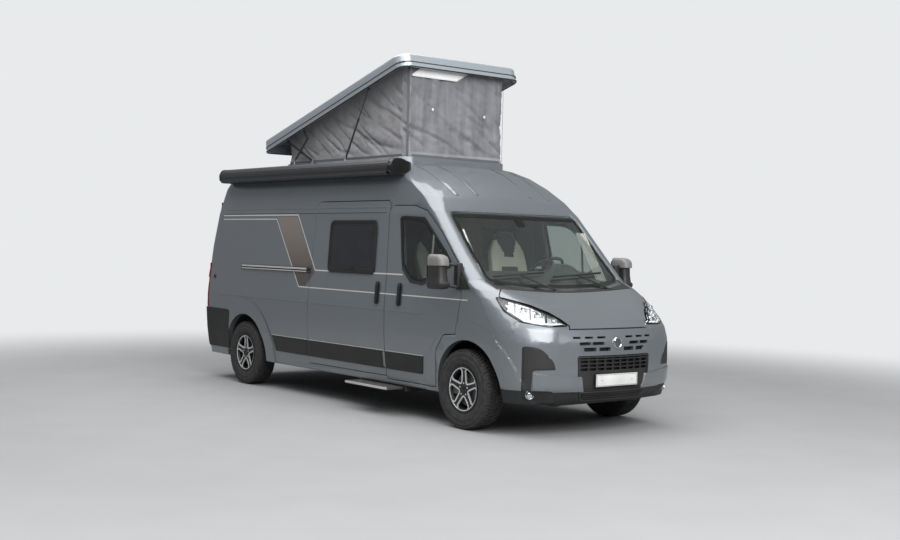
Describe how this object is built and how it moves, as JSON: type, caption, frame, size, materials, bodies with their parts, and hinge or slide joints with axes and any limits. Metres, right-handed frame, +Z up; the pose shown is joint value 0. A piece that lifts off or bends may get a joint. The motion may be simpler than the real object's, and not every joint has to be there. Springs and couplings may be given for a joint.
{
  "type": "camper van",
  "caption": "High-roof panel van camper with raised pop-up roof tent, side awning case, sliding door, entry step and hollow furnished cabin.",
  "frame": {"origin": "on the ground below the middle of the van, wheels standing on z = 0", "axes": "+X forwards, +Y to the van's left, +Z up; the roof's pop-up shell is shown raised"},
  "size_m": [5.9941, 2.508, 3.5801],
  "materials": {
    "body_paint": "metallic grey paint, clear coated",
    "roof_paint": "light silver paint",
    "bonnet_paint": "metallic grey paint, clear coated",
    "black_plastic": "fine-grained moulded plastic",
    "awning_aluminium": "anthracite powder coat",
    "step_aluminium": "ribbed anodised aluminium",
    "glazing": "tinted safety glass",
    "windscreen_glass": "laminated glass, clear",
    "lamp_clear": "clear polycarbonate lens over a reflector",
    "lamp_red": "moulded red lens",
    "dash_plastic": "soft-touch dark plastic",
    "seat_trim": "cream woven trim with dark inserts",
    "furniture_board": "laminated light board",
    "frame_steel": "black wax-coated steel",
    "engine_cast": "bare casting",
    "bare_steel": "bare galvanised steel",
    "tyre_rubber": "matt black rubber",
    "wheel_alloy": "diamond-turned alloy with black pockets",
    "tent_fabric": "grey coated tent cloth",
    "tank_plastic": "black moulded plastic"
  },
  "bodies": {
    "body": {"body_side_left": "body_paint", "body_side_right": "body_paint", "roof_panel": "roof_paint", "floor_pan": "frame_steel", "front_wings": "body_paint", "front_bumper": "body_paint", "bumper_skirt": "black_plastic", "grille": "black_plastic", "headlamps": "lamp_clear", "scuttle": "black_plastic", "bulkhead": "frame_steel", "windscreen": "windscreen_glass", "side_windows": "glazing", "sliding_door": "body_paint", "slide_rail": "black_plastic", "rear_bumper": "black_plastic", "tail_lamps": "lamp_red", "awning_case": "awning_aluminium", "wipers": "black_plastic", "dashboard": "dash_plastic", "steering_wheel": "dash_plastic", "cab_seats": "seat_trim", "camper_furniture": "furniture_board", "wheel_housings": "black_plastic", "chassis_rails": "frame_steel", "front_subframe": "frame_steel", "engine_block": "engine_cast", "rear_axle": "frame_steel", "exhaust": "bare_steel", "fuel_tank": "tank_plastic", "step_housing": "frame_steel", "roof_tent": "tent_fabric"},
    "knuckle_left": {"knuckle_left": "engine_cast"},
    "knuckle_right": {"knuckle_right": "engine_cast"},
    "wheel_front_left": {"tyre_front_left": "tyre_rubber", "rim_front_left": "wheel_alloy"},
    "wheel_front_right": {"tyre_front_right": "tyre_rubber", "rim_front_right": "wheel_alloy"},
    "wheel_rear_left": {"tyre_rear_left": "tyre_rubber", "rim_rear_left": "wheel_alloy"},
    "wheel_rear_right": {"tyre_rear_right": "tyre_rubber", "rim_rear_right": "wheel_alloy"},
    "cab_door_left": {"cab_door_left": "body_paint", "door_glass_left": "glazing", "mirror_left": "black_plastic"},
    "cab_door_right": {"cab_door_right": "body_paint", "door_glass_right": "glazing", "mirror_right": "black_plastic"},
    "rear_door_left": {"rear_door_left": "body_paint", "rear_glass_left": "glazing"},
    "rear_door_right": {"rear_door_right": "body_paint", "rear_glass_right": "glazing"},
    "bonnet": {"bonnet": "bonnet_paint"},
    "pop_roof": {"pop_roof": "roof_paint"},
    "roof_arm_long": {"roof_arm_long": "frame_steel"},
    "roof_arm_low": {"roof_arm_low": "frame_steel"},
    "roof_arm_high": {"roof_arm_high": "frame_steel"},
    "gas_strut_tubes": {"gas_strut_tubes": "frame_steel"},
    "gas_strut_rods": {"gas_strut_rods": "bare_steel"},
    "entry_step": {"entry_step": "step_aluminium"}
  },
  "joints": [
    {"name": "steer_left", "type": "hinge", "parent": "body", "child": "knuckle_left", "pos_m": [2.051, 0.875, 0.28], "axis": [0, -0.2647, 0.9643], "range_deg": [-35, 35]},
    {"name": "steer_right", "type": "hinge", "parent": "body", "child": "knuckle_right", "pos_m": [2.051, -0.875, 0.28], "axis": [0, 0.2647, 0.9643], "range_deg": [-35, 35]},
    {"name": "spin_front_left", "type": "hinge", "parent": "knuckle_left", "child": "wheel_front_left", "pos_m": [2.051, 0.905, 0.365], "axis": [0, 1, 0], "continuous": true},
    {"name": "spin_rear_left", "type": "hinge", "parent": "body", "child": "wheel_rear_left", "pos_m": [-1.984, 0.895, 0.365], "axis": [0, 1, 0], "continuous": true},
    {"name": "spin_front_right", "type": "hinge", "parent": "knuckle_right", "child": "wheel_front_right", "pos_m": [2.051, -0.905, 0.365], "axis": [0, 1, 0], "continuous": true},
    {"name": "spin_rear_right", "type": "hinge", "parent": "body", "child": "wheel_rear_right", "pos_m": [-1.984, -0.895, 0.365], "axis": [0, 1, 0], "continuous": true},
    {"name": "cab_door_left_hinge", "type": "hinge", "parent": "body", "child": "cab_door_left", "pos_m": [2.005, 1.032, 1], "axis": [0, 0, -1], "range_deg": [0, 70]},
    {"name": "cab_door_right_hinge", "type": "hinge", "parent": "body", "child": "cab_door_right", "pos_m": [2.005, -1.032, 1], "axis": [0, 0, 1], "range_deg": [0, 70]},
    {"name": "rear_door_left_hinge", "type": "hinge", "parent": "body", "child": "rear_door_left", "pos_m": [-2.963, 0.9365, 1.4], "axis": [0, 0, -1], "range_deg": [0, 175]},
    {"name": "rear_door_right_hinge", "type": "hinge", "parent": "body", "child": "rear_door_right", "pos_m": [-2.963, -0.9365, 1.4], "axis": [0, 0, 1], "range_deg": [0, 175]},
    {"name": "bonnet_hinge", "type": "hinge", "parent": "body", "child": "bonnet", "pos_m": [2.339, 0, 1.3], "axis": [0, -1, 0], "range_deg": [0, 50]},
    {"name": "roof_tilt", "type": "hinge", "parent": "body", "child": "pop_roof", "pos_m": [-2.563, 0, 2.55], "axis": [0, 1, 0], "range_deg": [0, 15.7], "deforming": ["roof_tent"]},
    {"name": "arm_long_fold", "type": "hinge", "parent": "body", "child": "roof_arm_long", "pos_m": [-1.078, 0, 2.58], "axis": [0, 1, 0], "range_deg": [-26, 0]},
    {"name": "arm_low_fold", "type": "hinge", "parent": "body", "child": "roof_arm_low", "pos_m": [-1.419, 0, 2.576], "axis": [0, 1, 0], "range_deg": [0, 43]},
    {"name": "arm_high_fold", "type": "hinge", "parent": "pop_roof", "child": "roof_arm_high", "pos_m": [-1.22, 0, 2.919], "axis": [0, 1, 0], "range_deg": [-67, 0]},
    {"name": "strut_swing", "type": "hinge", "parent": "body", "child": "gas_strut_tubes", "pos_m": [-0.365, 0, 2.57], "axis": [0, 1, 0], "range_deg": [0, 64]},
    {"name": "strut_slide", "type": "slide", "parent": "gas_strut_tubes", "child": "gas_strut_rods", "axis": [0.493, 0, 0.87], "range_m": [-0.32, 0]},
    {"name": "step_slide", "type": "slide", "parent": "body", "child": "entry_step", "axis": [0, 1, 0], "range_m": [0, 0.3]}
  ],
  "couplings": [
    {"joint": "steer_right", "follows": "steer_left", "ratio": 1},
    {"joint": "arm_long_fold", "follows": "roof_tilt", "ratio": -1.55},
    {"joint": "arm_low_fold", "follows": "roof_tilt", "ratio": 2.67},
    {"joint": "arm_high_fold", "follows": "roof_tilt", "ratio": -4.19},
    {"joint": "strut_swing", "follows": "roof_tilt", "ratio": 4},
    {"joint": "strut_slide", "follows": "roof_tilt", "m_per_rad": -1.1386}
  ]
}
